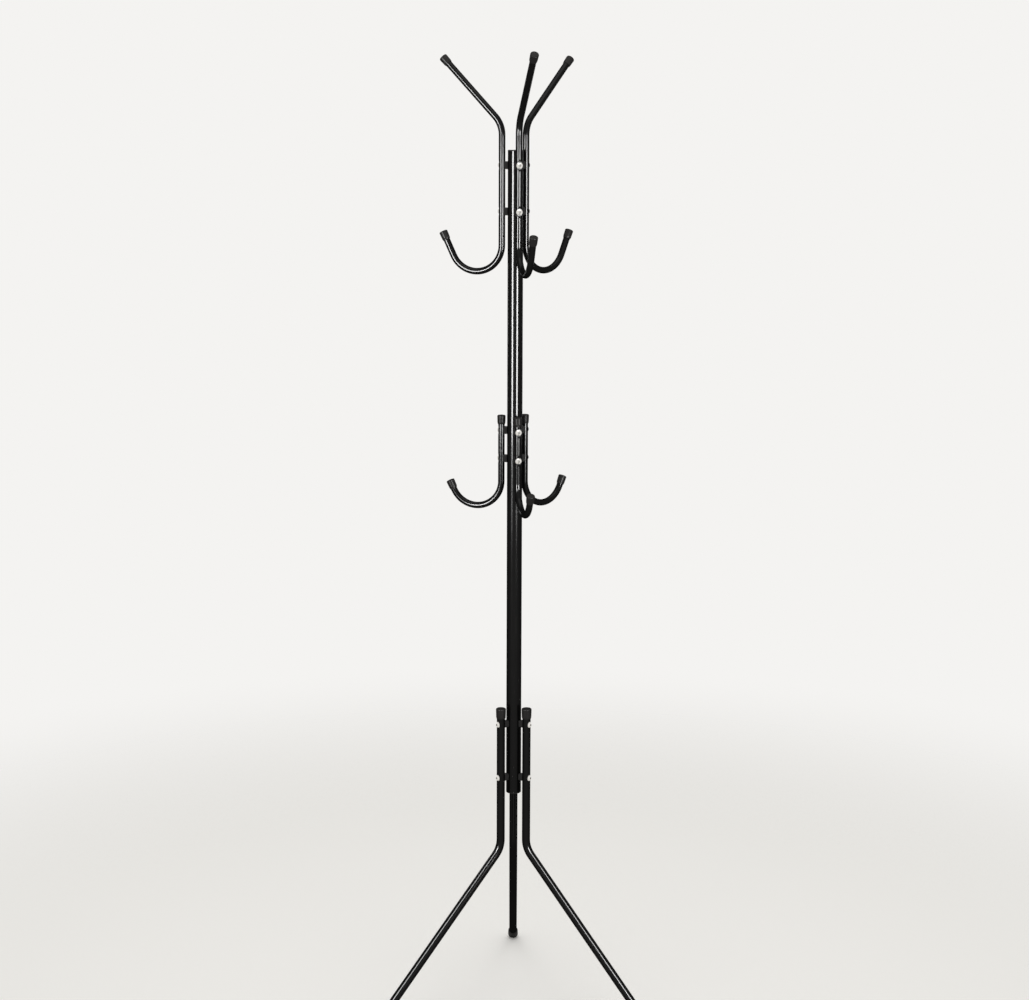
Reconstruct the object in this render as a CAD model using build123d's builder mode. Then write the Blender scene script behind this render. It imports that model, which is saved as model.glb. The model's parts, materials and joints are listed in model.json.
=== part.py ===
# Standing coat rack in millimetres: +Z up, origin on the floor under the pole's axis.
# Two pole sections carry three long hooks at the top, three short hooks halfway and three legs.

import os
from math import atan2, cos, degrees, radians, sin, sqrt, tan

from build123d import *

os.makedirs("parts", exist_ok=True)

# Pole: two equal lengths of round tube, the upper one standing on the lower one's shoulder
pole_diameter = 28.0
pole_wall = 1.2
pole_floor_height = 422.0
pole_section_length = 616.0
neck_length = 36.0
neck_fit = 0.06
neck_lead = 1.5
shoulder_length = 4.0
seam_bevel = 0.4

# Plugs that close the pole's two ends
plug_flange = 2.0
plug_rounding = 1.0
plug_stem_length = 14.0
plug_stem_wall = 1.6
plug_fit = 0.1

# Hooks: tube, the clear gap to the pole, and the bends that all six share
hook_diameter = 12.0
hook_wall = 1.0
hook_gap = 5.5
hook_bend_radius = 48.0
crook_turn = 155.0
hook_azimuths = {"left": 163.5, "front": 283.5, "right": 43.5}

# Top hooks: bolts below the pole's top, the slanting arm above, the crook below
top_bolt_drop = 25.0
top_bolt_pitch = 82.0
arm_corner_rise = 47.0
arm_lean = 43.3
arm_length = 163.0
top_shank_tail = 60.5
top_tip_length = 48.5

# Middle hooks: bolts above the pole's seam, a straight upper end, the crook below
middle_bolt_rise = 59.0
middle_bolt_pitch = 52.5
middle_head_rise = 28.0
middle_shank_tail = 43.0
middle_tip_length = 19.5

# Legs: bolts above the pole's lower end, then one bend out to the floor
leg_diameter = 15.5
leg_wall = 1.2
leg_gap = 6.0
leg_bolt_rise = 30.5
leg_bolt_pitch = 104.5
leg_head_rise = 32.0
leg_bend_height = 313.0
leg_bend_radius = 45.0
leg_spread = 304.0
leg_azimuths = {"back": 90.0, "left": 210.0, "right": 330.0}

# Moulded caps on the tube ends
cap_fit = 0.05
cap_rim = 0.7
cap_rim_length = 3.5
cap_draft = 1.5
cap_dome = 1.0
hook_cap_wall = 1.7
hook_cap_length = 17.0
hook_cap_end = 2.4
hook_cap_rounding = 2.0
leg_cap_wall = 1.7
leg_cap_length = 20.0
leg_cap_end = 2.6
leg_cap_rounding = 2.2
foot_wall = 2.5
foot_length = 22.0
foot_end = 4.0
foot_rounding = 4.0
foot_lift = 3.5

# Saddle spacers between the tubes and the pole
saddle_fit = 0.05
saddle_land = 0.6
saddle_rounding = 2.5
hook_saddle_inset = 1.0
hook_saddle_height = 14.0
leg_saddle_inset = 2.25
leg_saddle_height = 13.0

# Domed bolts, the seats pressed into the tubes for them, and the rivet nuts in the pole
bolt_diameter = 6.0
bolt_play = 0.15
head_diameter = 11.5
head_height = 3.3
socket_across = 4.0
socket_depth = 2.0
seat_depth = 1.5
seat_margin = 0.6
seat_ramp = 20.0
nut_wall = 1.5
nut_axis_gap = 0.25
nut_fit = 0.05
thread_gap = 0.05
bolt_end_gap = 1.0

# Places worked out from the sizes above
pole_radius = pole_diameter / 2
pole_bore = pole_radius - pole_wall
hook_radius = hook_diameter / 2
leg_radius = leg_diameter / 2
bolt_radius = bolt_diameter / 2
nut_radius = bolt_radius + nut_wall
seam_height = pole_floor_height + pole_section_length - neck_length
pole_top = seam_height + pole_section_length
hook_offset = pole_radius + hook_gap + hook_radius
leg_offset = pole_radius + leg_gap + leg_radius
top_bolts = (pole_top - top_bolt_drop, pole_top - top_bolt_drop - top_bolt_pitch)
middle_bolts = (seam_height + middle_bolt_rise + middle_bolt_pitch, seam_height + middle_bolt_rise)
leg_bolts = (pole_floor_height + leg_bolt_rise + leg_bolt_pitch, pole_floor_height + leg_bolt_rise)
nut_face = sqrt(pole_radius**2 - nut_radius**2)
nut_end = nut_radius + nut_axis_gap
leg_slope = degrees(atan2(leg_bend_height, leg_spread - leg_offset))
from_axis = (Align.CENTER, Align.CENTER, Align.MIN)


def save(part, label):
    """Label a finished sub-part and write it."""
    part.label = label
    export_step(part, f"parts/{label}.step")


def save_around(part, azimuths, label):
    """Write one copy of a sub-part at each azimuth."""
    for side, azimuth in azimuths.items():
        save(part.rotate(Axis.Z, azimuth), label.format(side))


def bolt_places(azimuths, heights):
    """Every place on the pole's axis from which a bolt of one tier points outward."""
    return [Location((0, 0, height), (0, 0, azimuth)) for azimuth in azimuths.values() for height in heights]


def at_bolts(piece, azimuths, heights):
    """Group of separate copies of one small piece, one at each bolt of a tier."""
    with BuildPart() as group:
        with Locations(*bolt_places(azimuths, heights)):
            add(piece)
    return group.part


def facing_out(offset, height):
    """Plane that faces away from the pole at an offset from its axis."""
    return Plane(origin=(offset, 0, height), x_dir=(0, 1, 0), z_dir=(1, 0, 0))


def bent_tube(path, diameter, wall, offset, bolt_heights):
    """Hollow tube along a path, with a dished seat pressed into it and a hole through it at each bolt."""
    radius = diameter / 2
    seat_radius = head_diameter / 2 + seat_margin
    dish_radius = seat_radius + seat_depth / tan(radians(seat_ramp))
    seat_face = radius - seat_depth
    with BuildPart() as tube:
        with BuildSketch(Plane(path ^ 0)):
            Circle(radius)
            Circle(radius - wall, mode=Mode.SUBTRACT)
        sweep(path=path)
        for height in bolt_heights:
            # the pressed wall behind the dish, which ends halfway into the round wall
            with BuildSketch(Plane(origin=(offset, 0, height - dish_radius))):
                Circle(radius - wall / 2)
                with Locations((seat_face - wall, 0)):
                    Rectangle(diameter, diameter, align=(Align.MIN, Align.CENTER), mode=Mode.INTERSECT)
            extrude(amount=2 * dish_radius)
            # the dish: a flat seat with a ramp all round it
            with Locations(facing_out(offset + seat_face, height)):
                Cone(
                    seat_radius,
                    2 * dish_radius - seat_radius,
                    2 * seat_depth,
                    align=from_axis,
                    mode=Mode.SUBTRACT,
                )
            # the bolt's hole through both walls
            with BuildSketch(facing_out(offset, height)):
                Circle(bolt_radius + bolt_play)
            extrude(amount=diameter, both=True, mode=Mode.SUBTRACT)
    return tube.part


def sleeve_cap(tube_end, direction, tube_diameter, wall, length, end, rounding):
    """Cap pushed over a tube's end: a domed closed end, drafted sides and a rim that thins to the tube."""
    bore = tube_diameter / 2 + cap_fit
    crown = tube_diameter / 2 + wall
    shoulder = end - cap_dome
    rim = end - length
    rim_top = rim + cap_rim_length
    rim_side = crown - (shoulder - rim_top) * tan(radians(cap_draft))
    across = Vector(0, 1, 0)
    with BuildPart() as cap:
        with BuildSketch(Plane(origin=tube_end, x_dir=across, z_dir=across.cross(direction))) as profile:
            with BuildLine():
                dome = TangentArc((0, end), (crown, shoulder), tangent=(1, 0))
                Polyline(
                    dome @ 1,
                    (rim_side, rim_top),
                    (bore + cap_rim, rim),
                    (bore, rim),
                    (bore, 0),
                    (0, 0),
                    dome @ 0,
                )
            make_face()
            fillet(profile.vertices().sort_by(Axis.X)[-1], rounding)
        revolve(axis=Axis(tube_end, direction))
    return cap.part


def hook_cap(tube_end, direction):
    """Cap for either end of a hook."""
    return sleeve_cap(
        tube_end, direction, hook_diameter, hook_cap_wall, hook_cap_length, hook_cap_end, hook_cap_rounding
    )


def saddle_spacer(offset, tube_radius, inset, height):
    """Block hollowed to the pole on one side and to the tube on the other, with the bolt's hole."""
    width = 2 * (tube_radius - inset)
    pole_side = pole_radius - saddle_land / 2
    tube_side = offset - sqrt(tube_radius**2 - (width / 2) ** 2) - saddle_land
    with BuildPart() as spacer:
        with BuildSketch(Plane.XY.offset(-height / 2)):
            with Locations((pole_side, 0)):
                Rectangle(tube_side - pole_side, width, align=(Align.MIN, Align.CENTER))
            Circle(pole_radius + saddle_fit, mode=Mode.SUBTRACT)
            with Locations((offset, 0)):
                Circle(tube_radius + saddle_fit, mode=Mode.SUBTRACT)
        extrude(amount=height)
        fillet(spacer.edges().filter_by(Axis.X), saddle_rounding)
        with BuildSketch(Plane.YZ):
            Circle(bolt_radius + bolt_play)
        extrude(amount=offset, mode=Mode.SUBTRACT)
    return spacer.part


def domed_bolt(seat):
    """Button-head bolt with a hex socket, from its seat on the tube to inside the rivet nut."""
    end = nut_end + bolt_end_gap
    crown = seat + head_height
    rim = head_diameter / 2
    with BuildPart() as bolt:
        with BuildSketch(Plane.XZ):
            with BuildLine():
                TangentArc((crown, 0), (seat, rim), tangent=(0, 1))
                Polyline((seat, rim), (seat, bolt_radius), (end, bolt_radius), (end, 0), (crown, 0))
            make_face()
        revolve(axis=Axis.X)
        with BuildSketch(Plane.YZ.offset(crown)):
            RegularPolygon(socket_across / 2, 6, major_radius=False)
        extrude(amount=-socket_depth, mode=Mode.SUBTRACT)
    return bolt.part


def pole_plug():
    """Insert with a rounded flange above the tube's end and a hollow stem inside the tube."""
    with BuildPart() as plug:
        with BuildSketch():
            Circle(pole_radius)
        extrude(amount=plug_flange)
        fillet(plug.edges().filter_by(GeomType.CIRCLE).sort_by(Axis.Z)[-1], plug_rounding)
        with BuildSketch():
            Circle(pole_bore - plug_fit)
            Circle(pole_bore - plug_fit - plug_stem_wall, mode=Mode.SUBTRACT)
        extrude(amount=-plug_stem_length)
    return plug.part


# Lower pole: the top is drawn in to a neck above a flat shoulder
with BuildPart() as lower_pole:
    neck_outer = pole_bore - neck_fit
    neck_bore = neck_outer - pole_wall
    neck_top = seam_height + neck_length
    with BuildSketch(Plane.XZ):
        with BuildLine():
            Polyline(
                (pole_bore, pole_floor_height),
                (pole_radius, pole_floor_height),
                (pole_radius, seam_height - seam_bevel),
                (pole_radius - seam_bevel, seam_height),
                (neck_outer, seam_height),
                (neck_outer, neck_top - neck_lead),
                (neck_outer - pole_wall / 2, neck_top),
                (neck_bore, neck_top),
                (neck_bore, seam_height),
                (pole_bore, seam_height - shoulder_length),
                close=True,
            )
        make_face()
    revolve(axis=Axis.Z)
    with Locations(*bolt_places(leg_azimuths, leg_bolts)):
        Cylinder(nut_radius + nut_fit, pole_radius, rotation=(0, 90, 0), align=from_axis, mode=Mode.SUBTRACT)
save(lower_pole.part, "lower_pole")

# Upper pole: a plain tube whose lower end stands on the shoulder
with BuildPart() as upper_pole:
    with BuildSketch(Plane.XY.offset(seam_height)):
        Circle(pole_radius)
        Circle(pole_bore, mode=Mode.SUBTRACT)
    extrude(amount=pole_section_length)
    chamfer(upper_pole.edges().group_by(Axis.Z)[0].sort_by(SortBy.RADIUS)[-1], seam_bevel)
    with Locations(*bolt_places(hook_azimuths, top_bolts + middle_bolts)):
        Cylinder(nut_radius + nut_fit, pole_radius, rotation=(0, 90, 0), align=from_axis, mode=Mode.SUBTRACT)
save(upper_pole.part, "upper_pole")

# Plugs in the pole's two ends, the lower one turned over
plug = pole_plug()
save(plug.moved(Location((0, 0, pole_top))), "pole_top_plug")
save(plug.moved(Location((0, 0, pole_floor_height), (180, 0, 0))), "pole_bottom_plug")

# Top hooks: a slanting arm, a straight shank on the pole and a crook that opens upward
corner_height = pole_top + arm_corner_rise
arm_out = sin(radians(arm_lean))
arm_up = cos(radians(arm_lean))
arm_bend = hook_bend_radius * tan(radians(arm_lean / 2))
arm_run = arm_length - hook_cap_end
with BuildLine(Plane.XZ) as top_line:
    arm = Line(
        (hook_offset + arm_run * arm_out, corner_height + arm_run * arm_up),
        (hook_offset + arm_bend * arm_out, corner_height + arm_bend * arm_up),
    )
    bend = JernArc(arm @ 1, arm % 1, hook_bend_radius, arm_lean)
    shank = Line(bend @ 1, (hook_offset, top_bolts[1] - top_shank_tail))
    crook = JernArc(shank @ 1, shank % 1, hook_bend_radius, crook_turn)
    Line(crook @ 1, crook @ 1 + (crook % 1) * (top_tip_length - hook_cap_end))
top_path = top_line.wire()
top_hook = bent_tube(top_path, hook_diameter, hook_wall, hook_offset, top_bolts)
save_around(top_hook, hook_azimuths, "top_hook_{}")
save_around(hook_cap(top_path @ 0, -(top_path % 0)), hook_azimuths, "top_hook_{}_arm_cap")
save_around(hook_cap(top_path @ 1, top_path % 1), hook_azimuths, "top_hook_{}_tip_cap")

# Middle hooks: a straight shank on the pole and the same crook
with BuildLine(Plane.XZ) as middle_line:
    shank = Line(
        (hook_offset, middle_bolts[0] + middle_head_rise - hook_cap_end),
        (hook_offset, middle_bolts[1] - middle_shank_tail),
    )
    crook = JernArc(shank @ 1, shank % 1, hook_bend_radius, crook_turn)
    Line(crook @ 1, crook @ 1 + (crook % 1) * (middle_tip_length - hook_cap_end))
middle_path = middle_line.wire()
middle_hook = bent_tube(middle_path, hook_diameter, hook_wall, hook_offset, middle_bolts)
save_around(middle_hook, hook_azimuths, "middle_hook_{}")
save_around(hook_cap(middle_path @ 0, -(middle_path % 0)), hook_azimuths, "middle_hook_{}_head_cap")
save_around(hook_cap(middle_path @ 1, middle_path % 1), hook_azimuths, "middle_hook_{}_tip_cap")

# Legs: an upright length on the pole and one bend out to the floor
leg_turn = 90 - leg_slope
leg_bend = leg_bend_radius * tan(radians(leg_turn / 2))
with BuildLine(Plane.XZ) as leg_line:
    upright = Line(
        (leg_offset, leg_bolts[0] + leg_head_rise - leg_cap_end),
        (leg_offset, leg_bend_height + leg_bend),
    )
    bend = JernArc(upright @ 1, upright % 1, leg_bend_radius, leg_turn)
    leg_run = ((bend @ 1).Z - foot_lift) / sin(radians(leg_slope)) - foot_end
    Line(bend @ 1, bend @ 1 + (bend % 1) * leg_run)
leg_path = leg_line.wire()
leg = bent_tube(leg_path, leg_diameter, leg_wall, leg_offset, leg_bolts)
save_around(leg, leg_azimuths, "leg_{}")

leg_top_cap = sleeve_cap(
    leg_path @ 0, -(leg_path % 0), leg_diameter, leg_cap_wall, leg_cap_length, leg_cap_end, leg_cap_rounding
)
save_around(leg_top_cap, leg_azimuths, "leg_{}_top_cap")

# Feet: caps on the legs' lower ends, cut flat where they stand
with BuildPart() as foot:
    add(sleeve_cap(leg_path @ 1, leg_path % 1, leg_diameter, foot_wall, foot_length, foot_end, foot_rounding))
    split(bisect_by=Plane.XY, keep=Keep.TOP)
save_around(foot.part, leg_azimuths, "leg_{}_foot")

# Rivet nuts: threaded sleeves set flush in the pole's wall
with BuildPart() as rivet_nut:
    with BuildSketch(Plane.YZ.offset(nut_face)):
        Circle(nut_radius)
        Circle(bolt_radius + thread_gap, mode=Mode.SUBTRACT)
    extrude(amount=nut_end - nut_face)

# Spacers, bolts and rivet nuts of each tier
hook_spacer = saddle_spacer(hook_offset, hook_radius, hook_saddle_inset, hook_saddle_height)
hook_bolt = domed_bolt(hook_offset + hook_radius - seat_depth)
leg_spacer = saddle_spacer(leg_offset, leg_radius, leg_saddle_inset, leg_saddle_height)
leg_bolt = domed_bolt(leg_offset + leg_radius - seat_depth)
tiers = {
    "top_hook": (hook_azimuths, top_bolts, hook_spacer, hook_bolt),
    "middle_hook": (hook_azimuths, middle_bolts, hook_spacer, hook_bolt),
    "leg": (leg_azimuths, leg_bolts, leg_spacer, leg_bolt),
}
for tier, (azimuths, heights, spacer, bolt) in tiers.items():
    save(at_bolts(spacer, azimuths, heights), f"{tier}_spacers")
    save(at_bolts(bolt, azimuths, heights), f"{tier}_bolts")
    save(at_bolts(rivet_nut.part, azimuths, heights), f"{tier}_rivet_nuts")
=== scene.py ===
"""Finishes and studio stage for a free-standing coat rack of bent steel tube."""

import json
from math import cos, pi, radians, sin

import bmesh
import bpy
from bpy.props import FloatProperty, FloatVectorProperty, IntProperty, PointerProperty
from mathutils import Matrix, Vector


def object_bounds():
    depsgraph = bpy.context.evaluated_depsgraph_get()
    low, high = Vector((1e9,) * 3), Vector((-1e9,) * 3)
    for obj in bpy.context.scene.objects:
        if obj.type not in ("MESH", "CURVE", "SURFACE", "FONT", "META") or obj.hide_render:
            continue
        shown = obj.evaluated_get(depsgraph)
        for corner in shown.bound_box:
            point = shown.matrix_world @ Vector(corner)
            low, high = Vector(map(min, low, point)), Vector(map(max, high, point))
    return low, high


bl_info = {
    "name": "Coat rack finishes",
    "version": (1, 0, 0),
    "blender": (4, 5, 0),
    "location": "View3D > Sidebar > Coat rack",
    "description": "Gives each piece of a tube coat rack its finish and sets a stage round it",
    "category": "Material",
}

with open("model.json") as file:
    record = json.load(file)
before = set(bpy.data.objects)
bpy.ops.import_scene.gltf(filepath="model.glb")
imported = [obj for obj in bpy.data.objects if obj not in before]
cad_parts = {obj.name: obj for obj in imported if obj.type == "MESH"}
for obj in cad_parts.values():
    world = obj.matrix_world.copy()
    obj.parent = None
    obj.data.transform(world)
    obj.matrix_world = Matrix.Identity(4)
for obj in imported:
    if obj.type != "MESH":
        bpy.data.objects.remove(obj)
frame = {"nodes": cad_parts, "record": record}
CAD_LOW, CAD_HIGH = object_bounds()
MM = 0.001

# The photograph's frame, in pixels, and the focal length that fits it
PHOTO_WIDTH = 1029
PHOTO_FOCAL = 1985.86
SENSOR_WIDTH = 36.0

# Octaves of noise in a finish's mottle and in its finer grain
MOTTLE_OCTAVES = 3.0
GRAIN_OCTAVES = 2.0

# Power of the cosine by which a gloss skin weakens as a surface turns away from the eye,
# and the Layer Weight blend that makes Facing one minus that power of the cosine
SKIN_FALLOFF = 3.0
SKIN_BLEND = 1.0 - 0.5 / SKIN_FALLOFF

# How far round from the camera each strip light stands, in degrees, and its share of their radiance
STRIPS = {
    "strip_light_left": (-40.5, 1.0),
    "strip_light_right": (31.8, 1.0),
    "strip_light_back_left": (-142.0, 0.5),
    "strip_light_back_right": (146.0, 0.5),
}


def linear(code):
    """Linear colour of an sRGB hex code."""
    parts = [int(code[i:i + 2], 16) / 255 for i in (1, 3, 5)]
    return tuple(p / 12.92 if p <= 0.04045 else ((p + 0.055) / 1.055) ** 2.4 for p in parts)


def opaque(colour):
    """Colour with full alpha, as a colour socket takes it."""
    return (*colour, 1.0)


def per_metre(size_mm):
    """Texture scale at which a pattern's grain measures a size in millimetres."""
    return 1.0 / (size_mm * MM)


def add_node(tree, kind, settings=None, links=None):
    """Add a node, set its properties and sockets, and link sockets from other nodes."""
    node = tree.nodes.new(kind)
    for name, value in (settings or {}).items():
        if isinstance(name, int) or name in node.inputs:
            node.inputs[name].default_value = value
        else:
            setattr(node, name, value)
    for name, source in (links or {}).items():
        tree.links.new(source, node.inputs[name])
    return node


def new_material(name):
    """Empty node material and its tree, with the object's own coordinates ready for patterns."""
    material = bpy.data.materials.new(name)
    material.use_nodes = True
    tree = material.node_tree
    tree.nodes.clear()
    place = add_node(tree, "ShaderNodeTexCoord").outputs["Object"]
    return material, tree, place


def pieces_of(slot):
    """Objects of the CAD nodes that take a material slot of the record."""
    parts = frame["record"]["subparts"]
    found = [frame["nodes"][part["node"]] for part in parts if part["material_slot"] == slot]
    if not found:
        raise RuntimeError(f"no piece takes the finish {slot}")
    return found


def give(material, objects):
    """Put one material on every object."""
    for piece in objects:
        piece.data.materials.clear()
        piece.data.materials.append(material)


def surface(tree, place, look):
    """Shader of one opaque finish, with mottled colour, uneven gloss and a grain in relief."""
    # Colour, mottled between two tones
    mottle = add_node(
        tree,
        "ShaderNodeTexNoise",
        {"Scale": per_metre(look["mottle_mm"]), "Detail": MOTTLE_OCTAVES},
        {"Vector": place},
    )
    colour = add_node(
        tree,
        "ShaderNodeMix",
        {"data_type": "RGBA", 6: opaque(look["dark"]), 7: opaque(look["light"])},
        {0: mottle.outputs["Fac"]},
    ).outputs[2]
    # A finish given a painted shade colour darkens towards it in recesses and corners, where ambient
    # occlusion finds shade: painted shade
    if "painted_recess_shade" in look:
        reach = look["painted_shade_mm"] * MM
        painted_shade_mask = add_node(tree, "ShaderNodeAmbientOcclusion", {"Distance": reach})
        colour = add_node(
            tree,
            "ShaderNodeMix",
            {"data_type": "RGBA", 6: opaque(look["painted_recess_shade"])},
            {0: painted_shade_mask.outputs["AO"], 7: colour},
        ).outputs[2]
    # Gloss that varies with the mottle, and a finer grain in relief
    gloss = add_node(
        tree,
        "ShaderNodeMapRange",
        {"To Min": look["roughness"][0], "To Max": look["roughness"][1]},
        {"Value": mottle.outputs["Fac"]},
    )
    grain = add_node(
        tree,
        "ShaderNodeTexNoise",
        {"Scale": per_metre(look["grain_mm"]), "Detail": GRAIN_OCTAVES},
        {"Vector": place},
    )
    relief = add_node(
        tree,
        "ShaderNodeBump",
        {"Strength": look["relief"], "Distance": look["relief_mm"] * MM},
        {"Height": grain.outputs["Fac"]},
    )
    settings = {"Metallic": look["metallic"], "Specular IOR Level": look["specular"]}
    links = {
        "Base Color": colour,
        "Roughness": gloss.outputs["Result"],
        "Normal": relief.outputs["Normal"],
    }
    # A finish with a skin shines by a thin coat, which weakens towards the edges of a tube or cap,
    # so that they stay as black as its middle
    if "skin" in look:
        glance = add_node(tree, "ShaderNodeLayerWeight", {"Blend": SKIN_BLEND})
        skin = add_node(
            tree,
            "ShaderNodeMapRange",
            {"To Min": look["skin"], "To Max": 0.0},
            {"Value": glance.outputs["Facing"]},
        )
        settings["Coat Roughness"] = look["skin_roughness"]
        links["Coat Weight"] = skin.outputs["Result"]
        links["Coat Normal"] = relief.outputs["Normal"]
    shader = add_node(tree, "ShaderNodeBsdfPrincipled", settings, links)
    add_node(tree, "ShaderNodeOutputMaterial", links={"Surface": shader.outputs["BSDF"]})


def powder_coat(finish):
    """Gloss black polyester powder coat, sprayed dry and baked on steel tube."""
    # Baking flows it out to a deep black gloss, with a faint orange peel some 3 mm from swell to swell.
    # All of its shine is in the skin, kept weak because the stage that it mirrors is so pale.
    material, tree, place = new_material("Gloss black powder coat on steel")
    surface(
        tree,
        place,
        {
            "dark": finish.tube_colour,
            "light": linear("#121111"),
            "mottle_mm": 60.0,
            "roughness": (0.10, 0.16),
            "grain_mm": 3.0,
            "relief": 0.008,
            "relief_mm": 0.2,
            "metallic": 0.0,
            "specular": 0.0,
            "skin": finish.tube_shine,
            "skin_roughness": 0.12,
        },
    )
    return material


def cap_plastic(finish):
    """Black polypropylene, moulded in a lightly spark-eroded tool."""
    # The tool leaves a satin pebble that spreads each highlight, drawn some ten times as coarse to show
    material, tree, place = new_material("Satin black moulded polypropylene")
    surface(
        tree,
        place,
        {
            "dark": finish.cap_colour,
            "light": linear("#302F2E"),
            "mottle_mm": 9.0,
            "roughness": (0.26, 0.38),
            "grain_mm": 1.2,
            "relief": 0.2,
            "relief_mm": 0.15,
            "metallic": 0.0,
            "specular": 0.0,
            "skin": 0.12,
            "skin_roughness": 0.32,
        },
    )
    return material


def spacer_plastic(finish):
    """Black glass-filled nylon, moulded without a finish pass."""
    # Short fibres near the surface leave it flatter than the caps, in flecks drawn coarser to show
    material, tree, place = new_material("Matt grey-black moulded nylon")
    surface(
        tree,
        place,
        {
            "dark": finish.spacer_colour,
            "light": linear("#242323"),
            "mottle_mm": 5.0,
            "roughness": (0.45, 0.6),
            "grain_mm": 0.9,
            "relief": 0.3,
            "relief_mm": 0.1,
            "metallic": 0.0,
            "specular": 0.25,
        },
    )
    return material


def foot_rubber(finish):
    """Black vulcanised rubber, pressed in a blasted mould."""
    # A dull surface with a slight bloom, so highlights are broad and faint.
    # The blasted pits are drawn several times as coarse to show.
    material, tree, place = new_material("Matt black vulcanised rubber")
    surface(
        tree,
        place,
        {
            "dark": finish.foot_colour,
            "light": linear("#1C1B1B"),
            "mottle_mm": 7.0,
            "roughness": (0.6, 0.78),
            "grain_mm": 0.8,
            "relief": 0.35,
            "relief_mm": 0.12,
            "metallic": 0.0,
            "specular": 0.25,
        },
    )
    return material


def bolt_plating(finish):
    """Bright nickel plate on cold-headed steel bolts, tumbled before plating."""
    # Tumbling polishes the domes to a soft white. Painted shade darkens the sockets and the corners
    # against the tube.
    # Its fine dents are drawn coarser to show.
    material, tree, place = new_material("Bright nickel plate on steel")
    surface(
        tree,
        place,
        {
            "dark": finish.bolt_colour,
            "light": linear("#F4F2EE"),
            # Painted shade colour, darkening the sockets and the corners where the heads meet the tube
            "painted_recess_shade": linear("#2C2B2A"),
            "painted_shade_mm": 2.5,
            "mottle_mm": 3.0,
            "roughness": (0.06, 0.12),
            "grain_mm": 0.6,
            "relief": 0.15,
            "relief_mm": 0.05,
            "metallic": 1.0,
            "specular": 0.5,
        },
    )
    return material


def nut_plating(finish):
    """Clear zinc plate on turned steel sleeves."""
    # A thin passivated zinc, greyer than nickel and a little cloudy, in crystals drawn coarser to show
    material, tree, place = new_material("Clear zinc plate on steel")
    surface(
        tree,
        place,
        {
            "dark": finish.nut_colour,
            "light": linear("#C9C7BE"),
            "mottle_mm": 2.5,
            "roughness": (0.35, 0.5),
            "grain_mm": 0.7,
            "relief": 0.2,
            "relief_mm": 0.05,
            "metallic": 1.0,
            "specular": 0.5,
        },
    )
    return material


class RackFinish(bpy.types.PropertyGroup):
    """Colours and shine of the rack's finishes."""

    tube_colour: FloatVectorProperty(
        name="Tube colour",
        description="Darkest tone of the powder coat on the pole, the hooks and the legs",
        subtype="COLOR",
        size=3,
        default=linear("#0A0A0A"),
    )
    tube_shine: FloatProperty(
        name="Tube shine",
        description="Weight of the powder coat's gloss skin",
        subtype="FACTOR",
        min=0.0,
        max=1.0,
        default=0.29,
    )
    cap_colour: FloatVectorProperty(
        name="Cap colour",
        description="Darkest tone of the moulded caps and plugs",
        subtype="COLOR",
        size=3,
        default=linear("#242323"),
    )
    spacer_colour: FloatVectorProperty(
        name="Spacer colour",
        description="Darkest tone of the saddle spacers",
        subtype="COLOR",
        size=3,
        default=linear("#191818"),
    )
    foot_colour: FloatVectorProperty(
        name="Foot colour",
        description="Darkest tone of the rubber feet",
        subtype="COLOR",
        size=3,
        default=linear("#100F0F"),
    )
    bolt_colour: FloatVectorProperty(
        name="Bolt colour",
        description="Darkest tone of the plated bolts",
        subtype="COLOR",
        size=3,
        default=linear("#DAD8D4"),
    )
    nut_colour: FloatVectorProperty(
        name="Rivet nut colour",
        description="Darkest tone of the plated rivet nuts",
        subtype="COLOR",
        size=3,
        default=linear("#A8A69E"),
    )


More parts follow.
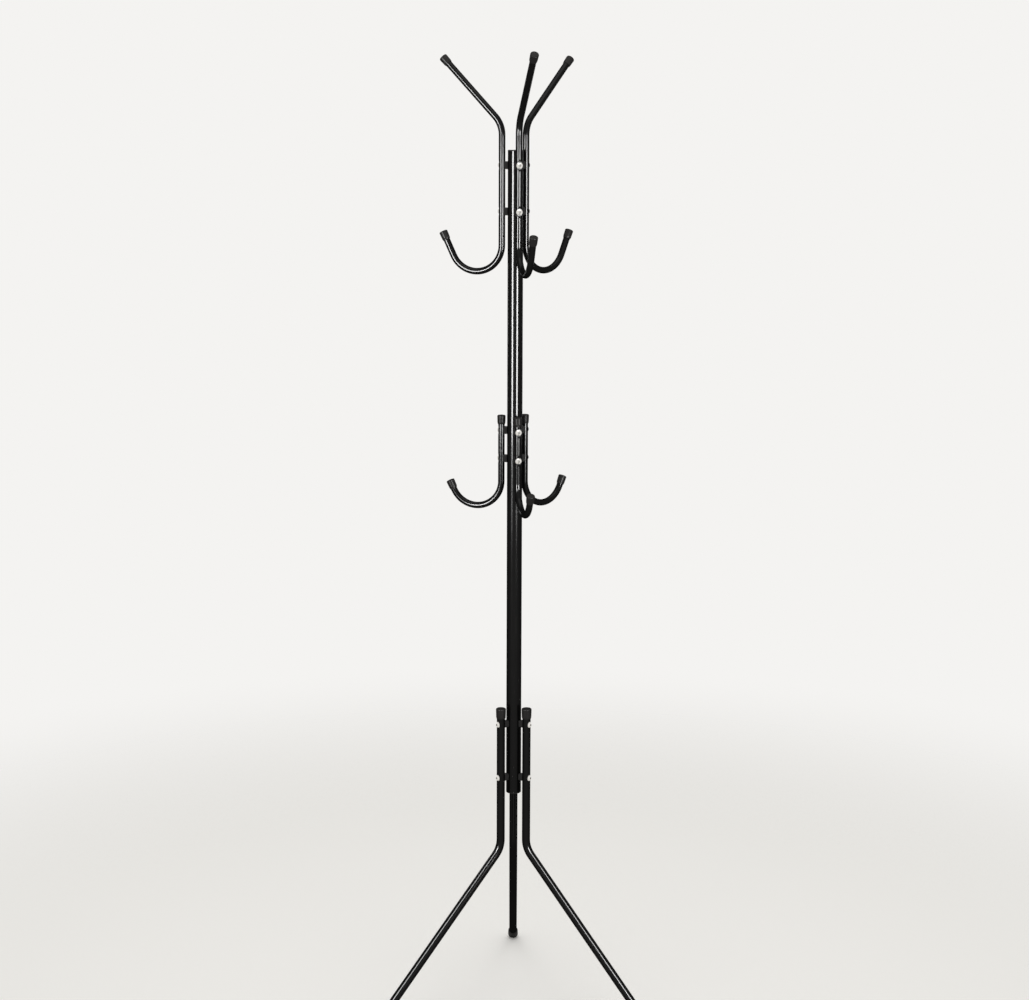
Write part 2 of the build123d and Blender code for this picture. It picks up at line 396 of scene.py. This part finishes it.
class RackStage(bpy.types.PropertyGroup):
    """Camera, floor and lights of the studio stage."""

    camera_distance: FloatProperty(
        name="Camera distance",
        description="Level distance from the pole to the camera",
        unit="LENGTH",
        default=3.6,
    )
    camera_height: FloatProperty(
        name="Camera height",
        description="Height of the camera above the floor",
        unit="LENGTH",
        default=1.67164,
    )
    camera_pitch: FloatProperty(
        name="Camera pitch",
        description="How far the camera looks down",
        subtype="ANGLE",
        default=radians(10.82),
    )
    camera_roll: FloatProperty(
        name="Camera roll",
        description="How far the camera leans, anticlockwise as seen in the picture being positive",
        subtype="ANGLE",
        default=radians(0.20),
    )
    backdrop_colour: FloatVectorProperty(
        name="Backdrop colour",
        description="Colour of the surroundings behind the rack",
        subtype="COLOR",
        size=3,
        default=linear("#F4F3F1"),
    )
    fill_level: FloatProperty(
        name="Fill level",
        description="Strength at which the surroundings light surfaces",
        default=0.72,
    )
    floor_colour: FloatVectorProperty(
        name="Floor colour",
        description="Colour of the pale floor",
        subtype="COLOR",
        size=3,
        default=linear("#F6F5F2"),
    )
    floor_radius: FloatProperty(
        name="Floor radius",
        description="Radius at which the floor has faded into the surroundings",
        unit="LENGTH",
        default=2.4,
    )
    floor_clear: FloatProperty(
        name="Floor clear",
        description="Share of the floor's radius within which it shows in full",
        subtype="FACTOR",
        min=0.0,
        max=1.0,
        default=0.4,
    )
    floor_sides: IntProperty(
        name="Floor sides",
        description="Number of sides of the round floor",
        min=12,
        default=96,
    )
    strip_distance: FloatProperty(
        name="Strip distance",
        description="Level distance from the pole to each strip light",
        unit="LENGTH",
        default=2.5,
    )
    strip_width: FloatProperty(
        name="Strip width",
        description="Width of each strip light",
        unit="LENGTH",
        default=0.80,
    )
    strip_low: FloatProperty(
        name="Strip foot",
        description="Height at which the strip lights fade to their dim tails",
        unit="LENGTH",
        default=0.70,
    )
    strip_waist: FloatProperty(
        name="Strip waist",
        description="Height above which the strip lights line the pole and the legs alone",
        unit="LENGTH",
        default=1.62,
    )
    strip_high: FloatProperty(
        name="Strip top",
        description="Height of the strip lights' upper ends",
        unit="LENGTH",
        default=2.7,
    )
    tail_low: FloatProperty(
        name="Tail foot",
        description="Height of the lower ends of the strip lights' dim tails",
        unit="LENGTH",
        default=0.42,
    )
    tail_share: FloatProperty(
        name="Tail share",
        description="Radiance of the dim tails as a share of the strip lights'",
        subtype="FACTOR",
        min=0.0,
        max=1.0,
        default=0.10,
    )
    leg_share: FloatProperty(
        name="Leg share",
        description="Radiance on the legs from above the strip lights' waist, as a share of the pole's",
        subtype="FACTOR",
        min=0.0,
        max=1.0,
        default=0.50,
    )
    strip_radiance: FloatProperty(
        name="Strip radiance",
        description="How many times brighter than white the strip lights are",
        default=110.0,
    )
    overhead_radiance: FloatProperty(
        name="Overhead radiance",
        description="How many times brighter than white the overhead panel is",
        default=2.4,
    )
    overhead_size: FloatProperty(
        name="Overhead size",
        description="Side of the square overhead panel",
        unit="LENGTH",
        default=2.0,
    )
    overhead_rise: FloatProperty(
        name="Overhead rise",
        description="Height of the overhead panel above the rack's top",
        unit="LENGTH",
        default=1.4,
    )
    overhead_forward: FloatProperty(
        name="Overhead forward",
        description="How far the overhead panel stands from the pole towards the camera",
        unit="LENGTH",
        default=0.3,
    )


class RACK_OT_coat_tubes(bpy.types.Operator):
    """Coat the pole, the hooks and the legs in gloss black powder"""

    bl_idname = "rack.coat_tubes"
    bl_label = "Coat the tubes"

    def execute(self, context):
        give(powder_coat(context.scene.rack_finish), pieces_of("black_powder_coat"))
        return {"FINISHED"}


class RACK_OT_mould_caps(bpy.types.Operator):
    """Give the tube caps and the pole's plugs their moulded plastic"""

    bl_idname = "rack.mould_caps"
    bl_label = "Mould the caps"

    def execute(self, context):
        give(cap_plastic(context.scene.rack_finish), pieces_of("black_cap_plastic"))
        return {"FINISHED"}


class RACK_OT_mould_spacers(bpy.types.Operator):
    """Give the saddle spacers their moulded plastic"""

    bl_idname = "rack.mould_spacers"
    bl_label = "Mould the spacers"

    def execute(self, context):
        give(spacer_plastic(context.scene.rack_finish), pieces_of("black_spacer_plastic"))
        return {"FINISHED"}


class RACK_OT_press_feet(bpy.types.Operator):
    """Give the feet their rubber"""

    bl_idname = "rack.press_feet"
    bl_label = "Press the feet"

    def execute(self, context):
        give(foot_rubber(context.scene.rack_finish), pieces_of("foot_rubber"))
        return {"FINISHED"}


class RACK_OT_plate_bolts(bpy.types.Operator):
    """Plate the domed bolts"""

    bl_idname = "rack.plate_bolts"
    bl_label = "Plate the bolts"

    def execute(self, context):
        give(bolt_plating(context.scene.rack_finish), pieces_of("bright_plated_steel"))
        return {"FINISHED"}


class RACK_OT_plate_nuts(bpy.types.Operator):
    """Plate the rivet nuts inside the pole"""

    bl_idname = "rack.plate_nuts"
    bl_label = "Plate the rivet nuts"

    def execute(self, context):
        give(nut_plating(context.scene.rack_finish), pieces_of("plain_steel"))
        return {"FINISHED"}


def add_camera(stage):
    """Camera in front of the rack at the photograph's angle."""
    lens = bpy.data.cameras.new("photo_camera")
    lens.sensor_width = SENSOR_WIDTH
    lens.lens = PHOTO_FOCAL / PHOTO_WIDTH * SENSOR_WIDTH
    camera = bpy.data.objects.new("photo_camera", lens)
    bpy.context.scene.collection.objects.link(camera)
    place = Matrix.Translation((0.0, -stage.camera_distance, stage.camera_height))
    look_down = Matrix.Rotation(pi / 2 - stage.camera_pitch, 4, "X")
    lean = Matrix.Rotation(stage.camera_roll, 4, "Z")
    camera.matrix_world = place @ look_down @ lean
    bpy.context.scene.camera = camera


def add_surroundings(stage):
    """Pale surroundings that show behind the rack and in its shine, and light it more softly."""
    world = bpy.data.worlds.new("pale_studio")
    world.use_nodes = True
    tree = world.node_tree
    tree.nodes.clear()
    path = add_node(tree, "ShaderNodeLightPath").outputs
    seen = add_node(
        tree,
        "ShaderNodeMath",
        {"operation": "MAXIMUM"},
        {0: path["Is Camera Ray"], 1: path["Is Glossy Ray"]},
    )
    shown = add_node(
        tree,
        "ShaderNodeMath",
        {"operation": "MAXIMUM"},
        {0: seen.outputs["Value"], 1: path["Is Transmission Ray"]},
    )
    level = add_node(
        tree,
        "ShaderNodeMapRange",
        {"To Min": stage.fill_level, "To Max": 1.0},
        {"Value": shown.outputs["Value"]},
    )
    light = add_node(
        tree,
        "ShaderNodeBackground",
        {"Color": opaque(stage.backdrop_colour)},
        {"Strength": level.outputs["Result"]},
    )
    add_node(tree, "ShaderNodeOutputWorld", links={"Surface": light.outputs["Background"]})
    bpy.context.scene.world = world


def add_floor(stage):
    """Round pale floor that fades into the surroundings."""
    material, tree, place = new_material("Pale matt studio floor")
    reach = add_node(
        tree,
        "ShaderNodeVectorMath",
        {"operation": "LENGTH"},
        {0: place},
    )
    fade = add_node(
        tree,
        "ShaderNodeMapRange",
        {
            "interpolation_type": "SMOOTHSTEP",
            "From Min": stage.floor_clear * stage.floor_radius,
            "From Max": stage.floor_radius,
        },
        {"Value": reach.outputs["Value"]},
    )
    matt = add_node(tree, "ShaderNodeBsdfDiffuse", {"Color": opaque(stage.floor_colour)})
    gone = add_node(tree, "ShaderNodeBsdfTransparent")
    mixed = add_node(
        tree,
        "ShaderNodeMixShader",
        links={0: fade.outputs["Result"], 1: matt.outputs["BSDF"], 2: gone.outputs["BSDF"]},
    )
    add_node(tree, "ShaderNodeOutputMaterial", links={"Surface": mixed.outputs["Shader"]})
    shape = bmesh.new()
    bmesh.ops.create_circle(
        shape,
        cap_ends=True,
        radius=stage.floor_radius,
        segments=stage.floor_sides,
    )
    mesh = bpy.data.meshes.new("studio_floor")
    shape.to_mesh(mesh)
    shape.free()
    mesh.materials.append(material)
    floor = bpy.data.objects.new("studio_floor", mesh)
    bpy.context.scene.collection.objects.link(floor)


def add_panel(name, place, aim, width, height, radiance):
    """Soft rectangular light of a given radiance, aimed at a point, out of the camera's sight."""
    lamp = bpy.data.lights.new(name, "AREA")
    lamp.shape = "RECTANGLE"
    lamp.size = width
    lamp.size_y = height
    # A flat lamp gives off pi times its radiance from each unit of its area
    lamp.energy = radiance * pi * width * height
    panel = bpy.data.objects.new(name, lamp)
    turn = (aim - place).to_track_quat("-Z", "Y").to_matrix().to_4x4()
    panel.matrix_world = Matrix.Translation(place) @ turn
    panel.visible_camera = False
    bpy.context.scene.collection.objects.link(panel)
    return panel


def new_group(name, pieces):
    """Collection of pieces for a light to fall on."""
    group = bpy.data.collections.new(name)
    for piece in pieces:
        group.objects.link(piece)
    return group


def add_lights(stage):
    """Upright strip lights before and behind the rack, and a soft panel overhead."""
    # Each strip is a dim tail, a body and a head. The head is two lamps in one place, one for the pole
    # and a dimmer one for the legs, so that the hooks' arms and bends stay dark.
    tubes = pieces_of("black_powder_coat")
    tubes_and_caps = new_group("lined_by_strips", tubes + pieces_of("black_cap_plastic"))
    pole = new_group("pole_lined_from_above", [tube for tube in tubes if "pole" in tube.name])
    legs = new_group("legs_lined_from_above", [tube for tube in tubes if "leg" in tube.name])
    spans = {
        "tail": (stage.tail_low, stage.strip_low, stage.tail_share, tubes_and_caps),
        "body": (stage.strip_low, stage.strip_waist, 1.0, tubes_and_caps),
        "head": (stage.strip_waist, stage.strip_high, 1.0, pole),
        "leg_head": (stage.strip_waist, stage.strip_high, stage.leg_share, legs),
    }
    for name, (round_by, share) in STRIPS.items():
        angle = radians(round_by)
        away = stage.strip_distance * Vector((sin(angle), -cos(angle), 0.0))
        for part, (low, high, level, receivers) in spans.items():
            aim = Vector((0.0, 0.0, (low + high) / 2))
            radiance = level * share * stage.strip_radiance
            strip = add_panel(
                f"{name}_{part}",
                aim + away,
                aim,
                stage.strip_width,
                high - low,
                radiance,
            )
            # The strips only draw bright lines along the black gloss
            strip.visible_diffuse = False
            strip.light_linking.receiver_collection = receivers
    # The overhead panel and the surroundings give the light level
    add_panel(
        "overhead_panel",
        Vector((0.0, -stage.overhead_forward, CAD_HIGH.z + stage.overhead_rise)),
        Vector((0.0, 0.0, 0.0)),
        stage.overhead_size,
        stage.overhead_size,
        stage.overhead_radiance,
    )


class RACK_OT_set_stage(bpy.types.Operator):
    """Set the camera, the pale floor, the surroundings and the lights"""

    bl_idname = "rack.set_stage"
    bl_label = "Set the stage"

    def execute(self, context):
        stage = context.scene.rack_stage
        add_camera(stage)
        add_surroundings(stage)
        add_floor(stage)
        add_lights(stage)
        context.scene.view_settings.view_transform = "Standard"
        return {"FINISHED"}


class RACK_PT_sidebar(bpy.types.Panel):
    """Lists the rack's finishes and its stage"""

    bl_label = "Coat rack"
    bl_space_type = "VIEW_3D"
    bl_region_type = "UI"
    bl_category = "Coat rack"

    def draw(self, context):
        for step in STEPS:
            self.layout.operator(step.bl_idname)
        for group in (context.scene.rack_finish, context.scene.rack_stage):
            for name in group.__annotations__:
                self.layout.prop(group, name)


STEPS = (
    RACK_OT_coat_tubes,
    RACK_OT_mould_caps,
    RACK_OT_mould_spacers,
    RACK_OT_press_feet,
    RACK_OT_plate_bolts,
    RACK_OT_plate_nuts,
    RACK_OT_set_stage,
)
CLASSES = (RackFinish, RackStage, *STEPS, RACK_PT_sidebar)


def register():
    for each in CLASSES:
        bpy.utils.register_class(each)
    bpy.types.Scene.rack_finish = PointerProperty(type=RackFinish)
    bpy.types.Scene.rack_stage = PointerProperty(type=RackStage)


def unregister():
    del bpy.types.Scene.rack_stage
    del bpy.types.Scene.rack_finish
    for each in reversed(CLASSES):
        bpy.utils.unregister_class(each)


def main():
    """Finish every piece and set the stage."""
    register()
    bpy.ops.rack.coat_tubes()
    bpy.ops.rack.mould_caps()
    bpy.ops.rack.mould_spacers()
    bpy.ops.rack.press_feet()
    bpy.ops.rack.plate_bolts()
    bpy.ops.rack.plate_nuts()
    bpy.ops.rack.set_stage()


if __name__ == "__main__":
    main()
